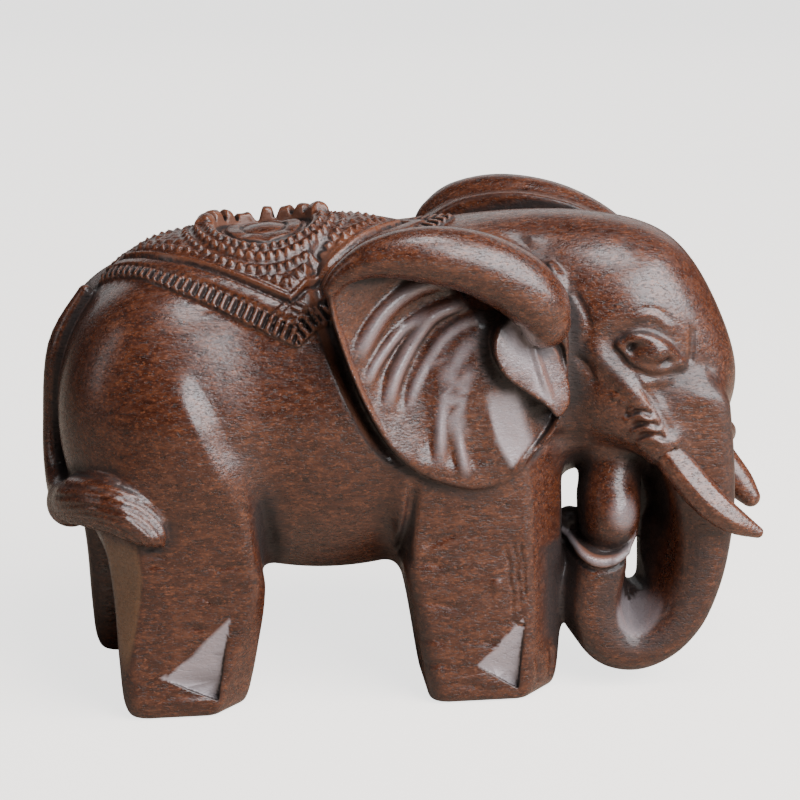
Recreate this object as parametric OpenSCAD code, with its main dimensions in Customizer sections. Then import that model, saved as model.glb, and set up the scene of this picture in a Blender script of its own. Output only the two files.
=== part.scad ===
// Carved wooden elephant: a walking figure cut from one block, with two tusks
// glued into round sockets. It stands on the soles of its four feet.
// +X is the way the elephant walks, +Y is its left, +Z is up. Units are mm.
// The origin is on the ground, at the middle of the figure's outline.

/* [Body] */
// Half length of the barrel
barrel_l = 36.5; // [34:0.5:38]
// Half width of the barrel
barrel_w = 22.5; // [20:0.5:24]
// Height of the back above the ground
back_z = 74.5; // [72:0.5:76]
// Height of the belly above the ground
belly_z = 17.5; // [15:0.5:20]
// Half width of the hindquarters
rump_w = 19.5; // [17:0.5:21]

/* [Legs] */
// Distance from the middle plane to the outer side of a leg
leg_out = 22.5; // [21:0.5:23.5]
// Distance from the middle plane to the inner side of a leg
leg_in = 5.7; // [5:0.1:7]
// Length of a hind foot
hind_foot_l = 19; // [17:0.5:20]
// Length of a fore foot
fore_foot_l = 21; // [19:0.5:22]
// Width of the flat cut along a leg's outer corner
leg_chamfer = 6; // [3:0.5:7]
// How far the far hind leg steps back
hind_step = 4.5; // [2:0.5:6]
// How far the far fore leg steps forward
fore_step = 2; // [0:0.5:3]

/* [Head] */
// Turn of the head towards the elephant's right, in degrees
head_turn = 20; // [16:1:24]
// Half width of the skull
skull_w = 14.2; // [13:0.2:15]
// Height of the crown above the ground
crown_z = 76.3; // [75:0.1:78]
// Radius of an eyeball
eye_r = 2.1; // [1.8:0.1:2.4]

/* [Trunk] */
// Thickness of the curled trunk, side to side
trunk_w = 16; // [14:0.5:17]
// Radius of the trunk at the bottom of its curl
trunk_r = 3.7; // [3.5:0.1:3.9]
// Radius of the lower lip that rests in the trunk's tip
lip_r = 5.3; // [5:0.1:5.6]

/* [Ears] */
// Thickness of an ear's blade
ear_t = 3.2; // [2.8:0.1:4]
// Radius of the rolled ear rim at its thickest
ear_roll_r = 5; // [4.4:0.1:5.4]
// Spread of the left ear, in degrees from the middle plane
left_ear_spread = 22; // [16:1:26]

/* [Tusks] */
// Radius of a tusk where it leaves its sheath
tusk_r = 2.6; // [2.2:0.1:2.8]
// Radius of a tusk's blunt tip
tusk_tip_r = 0.9; // [0.8:0.1:1.2]
// Diameter of the tenon
tenon_d = 3; // [2.4:0.1:3.4]
// Length of the tenon
tenon_l = 6; // [4:0.5:7]
// Room for glue around the tenon
glue_gap = 0.1; // [0.05:0.01:0.15]

/* [Saddle-cloth] */
// Half length of the diamond along the back
cloth_l = 26.5; // [25:0.5:28]
// Half width of the diamond across the back, seen from above
cloth_w = 21.5; // [20.5:0.1:22]
// How far the cloth stands proud of the back
cloth_t = 0.8; // [0.6:0.1:1.2]
// Number of knobs round the medallion
knob_count = 17; // [14:1:20]
// Radius of a knob
knob_r = 1.7; // [1.4:0.1:1.9]
// Radius of the ring of knobs
knob_ring_r = 10.8; // [10:0.1:12]

/* [Hidden] */

// Facets round a large form, round a limb, and round a true bore or tenon
form_fn = 24;
limb_fn = 14;
bore_fn = 48;
eps = 0.01;

// Moves the figure so that its outline is centred on the origin
centring = [-1.97, 2.25, 0];

// Middle of the neck, about which the head turns
neck = [30, -3, 0];

barrel_x = -12;
barrel_mid_z = (back_z + belly_z) / 2;
barrel_h = (back_z - belly_z) / 2;

// Leg outlines seen from the side: height, rear edge, front edge
sole_round = 1.6;
hind_foot_x = -46.3;
fore_foot_x = 2.3;
hind_leg = [
    [0, hind_foot_x + sole_round / 2, hind_foot_x + hind_foot_l - sole_round / 2],
    [sole_round, hind_foot_x - 0.4, hind_foot_x + hind_foot_l],
    [10, -47.5, -25.2],
    [20, -48, -24],
    [33, -49.5, -24.5],
    [48, -48, -28]
];
fore_leg = [
    [0, fore_foot_x + sole_round / 2, fore_foot_x + fore_foot_l - sole_round / 2],
    [sole_round, fore_foot_x - 0.4, fore_foot_x + fore_foot_l],
    [14, 0, 24.4],
    [24, -2, 24.6],
    [36, -3, 24.4],
    [52, -2, 21]
];

// Side view of the trunk's middle line, from the brow down and round to the tip
trunk_y = -12;
trunk_path = [[45.8, 42], [46.8, 37], [47.8, 30], [48, 23], [47.2, 17.5],
              [44.8, 11.2], [41, 6.6], [36.4, 4.8], [32.6, 7.1], [30.5, 13], [30.4, 20.5]];
trunk_growth = [1.7, 1.5, 1.28, 1.15, 1.08, 1.02, 1, 1.02, 1.08, 1.12, 1.22];

// Outline of an ear's blade seen from its own side: along, up
ear_outline = [[-14, 70.5], [-13.6, 66.4], [-12.3, 62], [-10.4, 56.5], [-7.6, 50],
               [-4.2, 44.2], [-0.2, 40.3], [4.1, 38], [9.2, 36.6], [14, 37.5],
               [18.1, 41], [22.5, 45.5], [24, 52], [24, 62], [21, 70], [12, 76],
               [2, 78], [-7, 76.5], [-12.6, 73]];
// Middle line of the rolled rim: along, out of the blade, up, share of the full radius
ear_roll = [[-13.4, -1, 70.6, 0.25], [-11.5, -0.5, 73, 0.38], [-7, 0.3, 75.2, 0.6],
            [0, 1, 75.6, 0.84], [8, 1.5, 74, 0.96], [15, 1.8, 70.4, 1],
            [19.6, 1.8, 66, 0.94], [21, 1.4, 62.8, 0.82]];
// Outline of the small folded lobe in front of the blade
lobe_outline = [[15.9, 63.8], [13.6, 61.2], [12.6, 58.4], [13.2, 55.5], [15.4, 53],
                [18.6, 51.2], [21, 49.3], [22.5, 47], [24.6, 46], [24.4, 54], [20, 64]];
right_ear_spread = 8.5;
ear_pivot = [-14, 0, 0];
right_ear_y = 26;
left_ear_y = 24;
left_ear_shift = [18.5, 0, -1.2];

// Middle line of the right tusk in the head's own frame, from its seat to its tip
tusk_path = [[14, -11.5, 42.3], [17, -12.1, 39.1], [20.2, -12.4, 36.2],
             [23.4, -12.3, 33.4], [26.8, -11.8, 30.8], [30.6, -10.8, 28.4]];
// The tusk's shoulder sits in a shallow seat turned into the sheath
seat_wall_gap = 0.15;
seat_floor_gap = 0.05;
seat_depth = 5;

// Middle line and radii of the tail and of its tuft
tail_path = [[-54.5, 0, 60], [-56.6, 0, 52], [-57.2, -1, 42], [-56.4, -4, 34],
             [-54, -11, 31]];
tail_radii = [2.4, 2.3, 2.2, 2.5, 3.2];
tuft_path = [[-54, -11, 31.5], [-51.5, -17, 34.6], [-47.5, -21, 35.6], [-43, -23.2, 33],
             [-40.5, -23.6, 29.6]];
tuft_radii = [3.2, 4, 4.2, 2.8, 0.9];

cloth_x = -21;
medallion = [-22, 0, 73.4];

wood_colour = [0.36, 0.2, 0.14];
tusk_colour = [0.42, 0.24, 0.17];

// ---------- small helpers ----------

function lerp(a, b, t) = a + (b - a) * t;

// An ellipsoid, optionally tipped about its own Y axis
module blob(centre, radii, tip = 0, fn = form_fn)
    translate(centre) rotate([0, tip, 0]) scale(radii) sphere(1, $fn = fn);

// A row of balls joined pair by pair into a tapering limb
module limb(path, radii, fn = limb_fn)
    for (i = [0 : len(path) - 2])
        hull() {
            translate(path[i]) sphere(radii[i], $fn = fn);
            translate(path[i + 1]) sphere(radii[i + 1], $fn = fn);
        }

// Turns the +Z axis to run from point a towards point b, and starts at a
module along(a, b) {
    d = b - a;
    translate(a)
        rotate([0, acos(d[2] / norm(d)), atan2(d[1], d[0])])
            children();
}

// Everything on the head is drawn about the neck and turned with it
module in_head_frame()
    translate(neck) rotate([0, 0, -head_turn]) children();

// ---------- the barrel and the legs ----------

// The trunk of the body, grown outwards for the cloth that lies on it
module barrel(grow = 0)
    hull() {
        blob([barrel_x, 0, barrel_mid_z],
             [barrel_l + grow, barrel_w + grow, barrel_h + grow]);
        blob([barrel_x - 2, 0, back_z - 15], [30 + grow, 17 + grow, 15 + grow]);
        blob([-34.5, 0, 49], [22 + grow, rump_w + grow, 24.3 + grow]);
    }

module haunch(side)
    blob([-38 - (side > 0 ? hind_step : 0) / 2, side * 10, 45], [16.5, 13.3, 25], -8);

module shoulder(side)
    hull() {
        blob([10, side * 8, 46], [15, 12.5, 23]);
        blob([14, 0, 55], [15, 17, 19]);
    }

// A leg is a stack of flat sections with one chamfered corner, hulled in pairs
module leg(outline, side, front, shift) {
    function inset(z) = z == 0 ? sole_round / 2 : 0;
    module section(key)
        translate([shift, 0, key[0]])
            linear_extrude(eps)
                polygon([
                    [key[1], side * (leg_in + inset(key[0]))],
                    [key[2], side * (leg_in + inset(key[0]))],
                    [key[2], side * (leg_out - (front ? leg_chamfer : 1.5))],
                    [key[2] - (front ? leg_chamfer : 1.5), side * (leg_out - inset(key[0]))],
                    [key[1] + (front ? 1.5 : leg_chamfer), side * (leg_out - inset(key[0]))],
                    [key[1], side * (leg_out - (front ? 1.5 : leg_chamfer))]
                ]);
    for (i = [0 : len(outline) - 2])
        hull() {
            section(outline[i]);
            section(outline[i + 1]);
        }
}

module legs()
    for (side = [-1, 1]) {
        leg(hind_leg, side, false, side > 0 ? -hind_step : 0);
        leg(fore_leg, side, true, side > 0 ? fore_step : 0);
    }

// ---------- the head ----------

module skull()
    hull() {
        blob([4.8, 0, crown_z - 15.3], [16.6, skull_w, 15.3]);
        blob([-6, 0, 57], [15, 13.5, 17]);
        blob([8.5, 0, 50], [13.2, 10.5, 14]);
    }

module cheek(side) {
    blob([6, side * 8.5, 50], [8, 6, 11], 25, limb_fn);
    hull() {
        translate([7, side * 9.3, 48.5]) sphere(5, $fn = limb_fn);
        translate([14, side * 11.4, 42.3]) sphere(3.7, $fn = limb_fn);
    }
}

// An eyeball, drawn out along the line of the eyelids
module eye(side)
    translate([13, side * 11.6, 57.6])
        rotate([0, 0, side * 52])
            scale([1.5, 1, 1])
                sphere(eye_r, $fn = limb_fn);

module jaw()
    hull() {
        blob([0, 0, 42], [11, 8.5, 7], 0, limb_fn);
        blob([5, -4, 40], [7, 6, 6], 0, limb_fn);
    }

// The lower lip hangs as a ball into the trunk's tip
module lip() {
    blob([30.8, trunk_y - 1, 28.5], [lip_r, lip_r + 1.2, 8], 0, limb_fn);
    hull() {
        translate([31, trunk_y, 33]) sphere(lip_r - 0.3, $fn = limb_fn);
        translate([33, trunk_y + 3, 42]) sphere(7, $fn = limb_fn);
    }
}

// One round-edged wheel of the trunk, lying in the plane of the curl
module trunk_wheel(p, r)
    translate([p[0], trunk_y, p[1]])
        rotate([90, 0, 0]) {
            cylinder(r = r, h = trunk_w - 5, center = true, $fn = limb_fn);
            cylinder(r = r - 2, h = trunk_w, center = true, $fn = limb_fn);
        }

module trunk()
    for (i = [0 : len(trunk_path) - 2])
        hull() {
            trunk_wheel(trunk_path[i], trunk_r * trunk_growth[i]);
            trunk_wheel(trunk_path[i + 1], trunk_r * trunk_growth[i + 1]);
        }

// ---------- the ears ----------

// The right ear, in the plane of its own blade, which faces -Y
module ear_shape() {
    rotate([90, 0, 0])
        translate([0, 0, -ear_t])
            linear_extrude(ear_t)
                polygon(ear_outline);
    limb([for (p = ear_roll) [p[0], -p[1], p[2]]], [for (p = ear_roll) ear_roll_r * p[3]]);
    rotate([90, 0, 0])
        translate([0, 0, -ear_t])
            linear_extrude(ear_t + 2)
                polygon(lobe_outline);
}

// Hangs an ear on its rear edge and swings its front edge in to the head
module hung_ear(y, spread)
    translate([ear_pivot[0], -y, 0])
        rotate([0, 0, spread])
            translate(-ear_pivot)
                ear_shape();

module ears() {
    hung_ear(right_ear_y, right_ear_spread);
    mirror([0, 1, 0])
        translate(left_ear_shift)
            hung_ear(left_ear_y, left_ear_spread);
}

// ---------- the tail and the saddle-cloth ----------

module tail() {
    limb(tail_path, tail_radii);
    limb(tuft_path, tuft_radii);
}

module cloth_diamond(inset)
    translate([cloth_x, 0, 40])
        linear_extrude(50)
            scale([(cloth_l - inset) / cloth_w, (cloth_w - inset * cloth_w / cloth_l) / cloth_w])
                rotate(45)
                    square(cloth_w * sqrt(2), center = true);

// The cloth is the barrel grown by its thickness, inside a diamond seen from above
module saddle_cloth()
    intersection() {
        barrel(cloth_t);
        cloth_diamond(0);
    }

module medallion() {
    translate(medallion - [0, 0, 3]) cylinder(r = knob_ring_r + 0.6, h = 3.9, $fn = form_fn);
    for (i = [0 : knob_count - 1])
        translate(medallion)
            rotate(i * 360 / knob_count)
                translate([knob_ring_r, 0, 1.2])
                    sphere(knob_r, $fn = 10);
}

// ---------- the tusks and their sockets ----------

function tusk_side(path, side) = [for (p = path) [p[0], -side * p[1], p[2]]];
function tusk_radius(i) = lerp(tusk_r, tusk_tip_r, pow(i / (len(tusk_path) - 1), 1.4));

// The room cut into a sheath: a shallow seat and a deeper round socket
module tusk_socket(side) {
    path = tusk_side(tusk_path, side);
    along(path[0], path[1]) {
        translate([0, 0, -seat_floor_gap])
            cylinder(r = tusk_r + seat_wall_gap, h = seat_depth, $fn = bore_fn);
        translate([0, 0, -tenon_l - 0.3])
            cylinder(d = tenon_d + 2 * glue_gap, h = tenon_l + 1, $fn = bore_fn);
    }
}

module tusk(side)
    in_head_frame() {
        path = tusk_side(tusk_path, side);
        along(path[0], path[1])
            translate([0, 0, -tenon_l])
                cylinder(d = tenon_d, h = tenon_l + 1, $fn = bore_fn);
        hull() {
            along(path[0], path[1]) cylinder(r = tusk_r, h = eps, $fn = limb_fn);
            translate(path[1]) sphere(tusk_radius(1), $fn = limb_fn);
        }
        for (i = [1 : len(path) - 2])
            hull() {
                translate(path[i]) sphere(tusk_radius(i), $fn = limb_fn);
                translate(path[i + 1]) sphere(tusk_radius(i + 1), $fn = limb_fn);
            }
    }

// ---------- the pieces ----------

module body()
    color(wood_colour)
        translate(centring)
            difference() {
                union() {
                    barrel();
                    for (side = [-1, 1]) {
                        haunch(side);
                        shoulder(side);
                    }
                    legs();
                    in_head_frame() {
                        skull();
                        for (side = [-1, 1]) {
                            cheek(side);
                            eye(side);
                        }
                        jaw();
                    }
                    lip();
                    trunk();
                    ears();
                    tail();
                    saddle_cloth();
                    medallion();
                }
                in_head_frame()
                    for (side = [-1, 1]) tusk_socket(side);
            }

module tusk_right() color(tusk_colour) translate(centring) tusk(-1);
module tusk_left() color(tusk_colour) translate(centring) tusk(1);

body();
tusk_right();
tusk_left();
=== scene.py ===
import math
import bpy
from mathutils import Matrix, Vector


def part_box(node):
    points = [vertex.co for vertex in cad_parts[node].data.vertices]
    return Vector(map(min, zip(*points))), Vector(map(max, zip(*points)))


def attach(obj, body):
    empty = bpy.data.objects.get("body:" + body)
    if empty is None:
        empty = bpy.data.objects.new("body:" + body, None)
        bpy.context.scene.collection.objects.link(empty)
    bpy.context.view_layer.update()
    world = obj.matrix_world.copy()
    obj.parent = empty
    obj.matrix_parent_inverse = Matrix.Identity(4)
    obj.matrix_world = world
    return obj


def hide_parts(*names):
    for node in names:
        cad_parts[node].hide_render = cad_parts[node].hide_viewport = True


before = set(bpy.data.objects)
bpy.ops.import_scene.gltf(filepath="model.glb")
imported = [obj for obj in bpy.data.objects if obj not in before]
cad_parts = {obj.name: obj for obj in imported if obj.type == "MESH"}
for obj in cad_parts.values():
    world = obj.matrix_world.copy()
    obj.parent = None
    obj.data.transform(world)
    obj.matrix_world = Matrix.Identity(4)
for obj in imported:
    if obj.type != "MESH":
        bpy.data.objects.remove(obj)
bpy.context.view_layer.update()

from concurrent.futures import ThreadPoolExecutor

import bpy
import numpy as np
from mathutils import Vector

# ---------- the frame that everything is placed by
# The sculpture is described in figure millimetres: +X the way the elephant
# walks, +Y its left, +Z up, with the ground at zero. FIGURE_LOW and FIGURE_HIGH
# are the block's corners in those units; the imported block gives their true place.
FIGURE_LOW = np.array([-59.4, -29.11, 0.0])
FIGURE_HIGH = np.array([52.54, 24.62, 79.69])
BODY_LOW, BODY_HIGH = (np.array(corner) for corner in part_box("body"))
UNIT = (BODY_HIGH[0] - BODY_LOW[0]) / (FIGURE_HIGH[0] - FIGURE_LOW[0])
ORIGIN = (BODY_LOW + BODY_HIGH) / 2 - (FIGURE_LOW + FIGURE_HIGH) / 2 * UNIT
ORIGIN[2] = BODY_LOW[2]


def placed(points):
    """Figure millimetres to metres in the shared frame."""
    return np.asarray(points, dtype=float) * UNIT + ORIGIN


# ---------- distance fields: the carver's kit
# Every shape is a function of an (N, 3) array of points. It gives each point's
# distance to the shape's surface, negative inside.

def vec(*values):
    return np.array(values, dtype=np.float32)


def length(v):
    return np.sqrt(np.einsum("ij,ij->i", v, v))


def join(a, b, soft):
    """Union with a fillet about soft millimetres wide."""
    h = np.maximum(soft - np.abs(a - b), 0) / soft
    return np.minimum(a, b) - h * h * soft * 0.25


def meet(a, b, soft):
    """Intersection with a rounded edge."""
    return -join(-a, -b, soft)


def carve(a, b, soft):
    """Shape a with shape b cut away."""
    return -join(-a, b, soft)


def turned(axis, degrees):
    """Matrix whose columns are the axes of a frame turned about y or z."""
    c, s = math.cos(math.radians(degrees)), math.sin(math.radians(degrees))
    rows = {"y": [[c, 0, s], [0, 1, 0], [-s, 0, c]],
            "z": [[c, -s, 0], [s, c, 0], [0, 0, 1]]}[axis]
    return np.array(rows, dtype=np.float32)


def ball(p, centre, radii, tilt=None):
    """An ellipsoid."""
    q = p - vec(*centre)
    if tilt is not None:
        q = q @ tilt
    r = vec(*radii)
    near, far = length(q / r), length(q / (r * r))
    return near * (near - 1) / np.maximum(far, 1e-4)


def limb(p, a, b, ra, rb):
    """A tapering round-ended rod from a to b."""
    a, b = vec(*a), vec(*b)
    pa, ba = p - a, b - a
    t = np.clip(pa @ ba / max(float(ba @ ba), 1e-9), 0, 1)
    return length(pa - t[:, None] * ba) - (ra + (rb - ra) * t)


def smooth_route(points, steps, closed=False):
    """Catmull-Rom points through a short list of corners."""
    pts = np.array(points, dtype=float)
    n = len(pts)
    spans = n if closed else n - 1
    out = []
    for i in range(spans):
        p0 = pts[(i - 1) % n] if closed else pts[max(i - 1, 0)]
        p1, p2 = pts[i], pts[(i + 1) % n]
        p3 = pts[(i + 2) % n] if closed else pts[min(i + 2, n - 1)]
        for t in np.arange(steps) / steps:
            out.append(0.5 * (2 * p1 + (p2 - p0) * t + (2 * p0 - 5 * p1 + 4 * p2 - p3) * t * t
                              + (3 * p1 - p0 - 3 * p2 + p3) * t ** 3))
    if not closed:
        out.append(pts[-1])
    return np.array(out)


def rope(p, route, radii):
    """A smooth limb along a route, its radius eased from corner to corner."""
    pts = smooth_route(np.column_stack([route, radii]), 6)
    d = None
    for a, b in zip(pts[:-1], pts[1:]):
        piece = limb(p, a[:3], b[:3], a[3], b[3])
        d = piece if d is None else np.minimum(d, piece)
    return d


def within(p, low, high, shape, reach=9.0):
    """The shape near its box, and the plain distance to that box elsewhere."""
    low, high = vec(*low), vec(*high)
    gap = length(np.maximum(np.maximum(low - p, p - high), 0))
    d = gap + 1.0
    close = gap < reach
    if close.any():
        d[close] = shape(p[close])
    return d


class Table:
    """A function of two coordinates, worked out once on a fine grid and looked up from then on."""

    def __init__(self, function, low, high, cell=0.15):
        self.low, self.cell = np.array(low, dtype=float), cell
        self.count = np.ceil((np.array(high) - low) / cell).astype(int) + 1
        u, v = np.meshgrid(*(low[i] + np.arange(self.count[i]) * cell for i in (0, 1)),
                           indexing="ij")
        self.values = function(u.ravel(), v.ravel()).reshape(self.count).astype(np.float32)

    def __call__(self, u, v):
        x = np.clip((u - self.low[0]) / self.cell, 0, self.count[0] - 1.001)
        y = np.clip((v - self.low[1]) / self.cell, 0, self.count[1] - 1.001)
        i, j = x.astype(int), y.astype(int)
        fx, fy = (x - i).astype(np.float32), (y - j).astype(np.float32)
        t = self.values
        return ((t[i, j] * (1 - fx) + t[i + 1, j] * fx) * (1 - fy)
                + (t[i, j + 1] * (1 - fx) + t[i + 1, j + 1] * fx) * fy)


def outline(corners, margin=14.0):
    """A table of the distance to a smooth closed outline."""
    line = smooth_route(corners, 4, closed=True)

    def edge_distance(u, v):
        q = np.stack([u, v], axis=1)
        best = np.full(len(q), 1e9)
        inside = np.zeros(len(q), dtype=bool)
        for a, b in zip(np.roll(line, 1, axis=0), line):
            edge, off = b - a, q - a
            t = np.clip(off @ edge / (edge @ edge), 0, 1)
            gap = off - t[:, None] * edge
            best = np.minimum(best, np.einsum("ij,ij->i", gap, gap))
            crosses = (a[1] <= q[:, 1]) != (b[1] <= q[:, 1])
            inside ^= crosses & (a[0] + (q[:, 1] - a[1]) * edge[0] / (edge[1] + 1e-12) > q[:, 0])
        return np.sqrt(best) * np.where(inside, -1, 1)

    return Table(edge_distance, line.min(axis=0) - margin, line.max(axis=0) + margin, 0.2)


# ---------- the carver's strokes
# A stroke is a height in millimetres over a flat pair of coordinates: above zero
# stands proud, below zero is cut away.

def ease(t):
    t = np.clip(t, 0, 1)
    return t * t * (3 - 2 * t)


def nearest(u, v, line, steps=4):
    """Distance to a smooth line, the share of its length there, and the side: +1 is its left."""
    pts = smooth_route(line, steps)
    best, share, side = np.full(len(u), 1e9), np.zeros(len(u)), np.zeros(len(u))
    for k, (a, b) in enumerate(zip(pts[:-1], pts[1:])):
        e, x, y = b - a, u - a[0], v - a[1]
        t = np.clip((x * e[0] + y * e[1]) / (e @ e), 0, 1)
        gap = np.hypot(x - t * e[0], y - t * e[1])
        closer = gap < best
        best[closer] = gap[closer]
        share[closer] = (k + t[closer]) / (len(pts) - 1)
        side[closer] = np.sign(e[0] * y - e[1] * x)[closer]
    return best, share, side


class Spine:
    """Tables round a flat route: the distance to it, and the route's own sizes at the nearest point."""

    def __init__(self, rows, margin=16.0, steps=16):
        rows = np.array(rows, dtype=float)
        low, high = rows[:, :2].min(axis=0) - margin, rows[:, :2].max(axis=0) + margin
        sizes = smooth_route(rows[:, 2:], steps)
        place = np.linspace(0, 1, len(sizes))
        self.gap = Table(lambda u, v: nearest(u, v, rows[:, :2], steps)[0], low, high)
        share = Table(lambda u, v: nearest(u, v, rows[:, :2], steps)[1], low, high)
        self.sizes = []
        for column in sizes.T:
            table = Table(lambda u, v: u * 0, low, high)
            table.values = np.interp(share.values, place, column).astype(np.float32)
            self.sizes.append(table)

    def __call__(self, u, v):
        return [self.gap(u, v)] + [table(u, v) for table in self.sizes]


def run_out(share, ends):
    return ease(np.minimum(share, 1 - share) / ends)


def peak(gap, half):
    """A straight-sided ridge, 1 along its middle and 0 from half its width out."""
    return np.maximum(0, 1 - np.abs(gap) / half)


def cut(u, v, line, half, depth, ends=0.2):
    """A V-shaped gouge cut that runs out at both ends."""
    gap, share, _ = nearest(u, v, line)
    return -depth * run_out(share, ends) * peak(np.sqrt(gap ** 2 + 0.02), half)


def swell(u, v, line, half, height, ends=0.2):
    """A rounded ridge, or a rounded hollow if height is negative."""
    gap, share, _ = nearest(u, v, line)
    return height * run_out(share, ends) * np.maximum(0, 1 - (gap / half) ** 2) ** 2


def add_all(stroke, u, v, lines, *sizes, **more):
    return sum(stroke(u, v, line, *sizes, **more) for line in lines)


# ---------- the barrel, the haunches and the shoulders

def barrel(p):
    d = ball(p, (-12, 0, 45.8), (37, 22.3, 28.3))
    d = join(d, ball(p, (-14, 0, 59.5), (31, 15.5, 14.6)), 5)
    d = join(d, ball(p, (-34, 0, 48.0), (21.3, 19.5, 23.6)), 8)
    for side in (-1, 1):
        x = -38 + HIND_STAGGER[0] / 2 * (side > 0)
        d = join(d, ball(p, (x, side * 10, 43.5), (17, 13.3, 24), turned("y", -8)), 5)
        d = join(d, ball(p, (10, side * 8, 46), (15, 12.5, 24)), 8)
    return join(d, ball(p, (14, 0, 55), (16, 18, 20)), 8)


# ---------- the legs
# Each leg's outline at a few heights: height, rear, front, outer and inner side
HIND_LEG = [(0, -46, -27.5, 22.5, 6.0), (3, -47, -26.5, 23.0, 5.5), (10, -47.5, -25.2, 22.5, 5.5),
            (20, -48, -24, 22.5, 5.5), (33, -49.5, -24.5, 23.0, 4.0), (44, -50, -27, 22.5, 2.0)]
FORE_LEG = [(0, 2.5, 23, 22.0, 6.0), (3, 1.8, 24, 22.5, 5.5), (14, 0, 24.8, 22.0, 5.5),
            (24, -2, 24.8, 21.5, 5.5), (36, -3, 24.5, 21.0, 4.0), (50, -2, 22, 20.0, 2.0)]
# How deep the flats down the rear and the front outer corners are, at these two heights
CUT_SPAN = (4, 24)
HIND_CUTS = ((0.2, 4.8), (5.2, 1.0))
FORE_CUTS = ((0.2, 0.2), (5.6, 6.5))
# How far each left leg stands from the right one's mirror image
HIND_STAGGER, FORE_STAGGER = (-4.5, 0, 0), (2.0, 0, 0)


def in_leg(p, outline):
    """Points from the middle of a right leg, forwards and outwards, and the leg's half sizes there."""
    z = p[:, 2]
    keys = smooth_route(outline, 6)
    rear, front, outer, inner = (np.interp(z, keys[:, 0], keys[:, i]).astype(np.float32)
                                 for i in (1, 2, 3, 4))
    return (p[:, 0] - (front + rear) / 2, -p[:, 1] - (outer + inner) / 2,
            (front - rear) / 2, (outer - inner) / 2)


def corner_flat(z, u, v, half_x, half_y, cut_sizes):
    """Height over the flat down a leg's outer corner."""
    return (u - half_x + v - half_y + np.interp(z, CUT_SPAN, cut_sizes)) * 0.7071


def leg(p, outline, cuts):
    """A squared right leg with a long flat down each outer corner."""
    z = p[:, 2]
    u, v, half_x, half_y = in_leg(p, outline)
    d = meet(np.abs(u) - half_x, np.abs(v) - half_y, 3.0)
    for end, cut_sizes in zip((-1, 1), cuts):
        d = meet(d, corner_flat(z, u * end, v, half_x, half_y, cut_sizes), 0.8)
    d = meet(d * 0.96, -z, 0.9)
    return meet(d, z - outline[-1][0], 6.0)


def sawn(p):
    """1 on the sawn flat down the rear outer corner of the right hind leg, 0 elsewhere."""
    u, v, half_x, half_y = in_leg(p, HIND_LEG)
    off = np.abs(corner_flat(p[:, 2], -u, v, half_x, half_y, HIND_CUTS[0]))
    return ease(1.5 - off / 0.25) * (p[:, 1] < -12) * (p[:, 0] < -38) * ease((30 - p[:, 2]) / 1.5)


def over_plane(p, a, b, c, outward):
    """Height over the plane through three points, on the side that outward shows."""
    a, b, c = (np.array(corner, dtype=float) for corner in (a, b, c))
    normal = np.cross(b - a, c - a)
    normal *= np.sign(normal @ np.array(outward)) / np.linalg.norm(normal)
    return (p - a.astype(np.float32)) @ normal.astype(np.float32)


# Each foot has one knife cut: its top, its rear end and its lowest corner
HIND_SLICE = [(-29.8, -22.5, 17.2), (-40.6, -22.7, 7.1), (-32.1, -21.5, 2.4)]
FORE_SLICE = [(17.4, -21.9, 12.6), (10.2, -22.4, 6.4), (16.6, -21.2, 1.8)]
LIP_RISE = (0, -3, 1.2)  # the lip left standing below the cut slopes this way
CUT_DEPTH = (0, -3, 0)  # the cut's front end is square to the leg's face


def over_slice(p, top, rear, low):
    """How far a point is over the knife cut's flat, above its lip and behind its front end."""
    lip_end, front_end = np.array(low) + LIP_RISE, np.array(low) + CUT_DEPTH
    return (over_plane(p, top, rear, low, (0, -1, 0)),
            over_plane(p, rear, low, lip_end, (0, 0, 1)),
            over_plane(p, top, low, front_end, (-1, 0, 0)))


LEGS = ((HIND_LEG, HIND_CUTS, HIND_SLICE, HIND_STAGGER),
        (FORE_LEG, FORE_CUTS, FORE_SLICE, FORE_STAGGER))


def as_right(p, side, stagger):
    """Points brought over to the right-hand one of a pair whose left one stands that far off."""
    return p * vec(1, -side, 1) - vec(*stagger) * (side > 0)


def legs(p):
    d = None
    for side in (-1, 1):
        for outline, cuts, corners, stagger in LEGS:
            low = min(row[1] for row in outline) - 3
            high = max(row[2] for row in outline) + 3
            one = within(as_right(p, side, stagger), (low, -24, -1), (high, 0, outline[-1][0]),
                         lambda m: meet(leg(m, outline, cuts),
                                        np.minimum.reduce(over_slice(m, *corners)), 0.15))
            d = one if d is None else np.minimum(d, one)
    return d


# ---------- the strokes on the flank and the legs
HAUNCH_RIDGE = [(-37.5, 58), (-36, 55), (-32.8, 48.4), (-30, 42), (-27.6, 36.5), (-25.6, 31)]
FLANK_CREASE = [(-27.4, 43), (-25.6, 35), (-24, 27), (-24.6, 21)]
HIND_WRINKLES = [
    [(-43.3, 28.6), (-41.3, 29.4), (-39.3, 28.4)], [(-43.2, 27.2), (-41.2, 27.9), (-38.8, 26.9)],
    [(-43.1, 25.7), (-41.2, 26.4), (-39.2, 25.4)], [(-35.7, 20.0), (-34, 20.5), (-31.8, 19.0)],
    [(-37, 14.6), (-35.2, 15.4), (-33.4, 14.8)], [(-33, 24.6), (-30, 25.6), (-27, 25)]]
FORE_WRINKLES = [
    [(-0.8, 23.9), (2.5, 24.3), (5.2, 22.9)], [(-0.8, 18.2), (3.8, 17.2), (8.2, 15.6)],
    [(0.4, 10.6), (3.1, 11.3), (5.2, 10.0)], [(1.2, 6.4), (3.7, 7.2), (5.8, 5.8)],
    [(0.8, 26.8), (3.8, 28.1), (6.8, 29.5)], [(6.2, 3.0), (8.6, 3.3), (11, 1.8)],
    [(9.6, 10.8), (12, 10.2), (13.6, 10.6)]]
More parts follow.
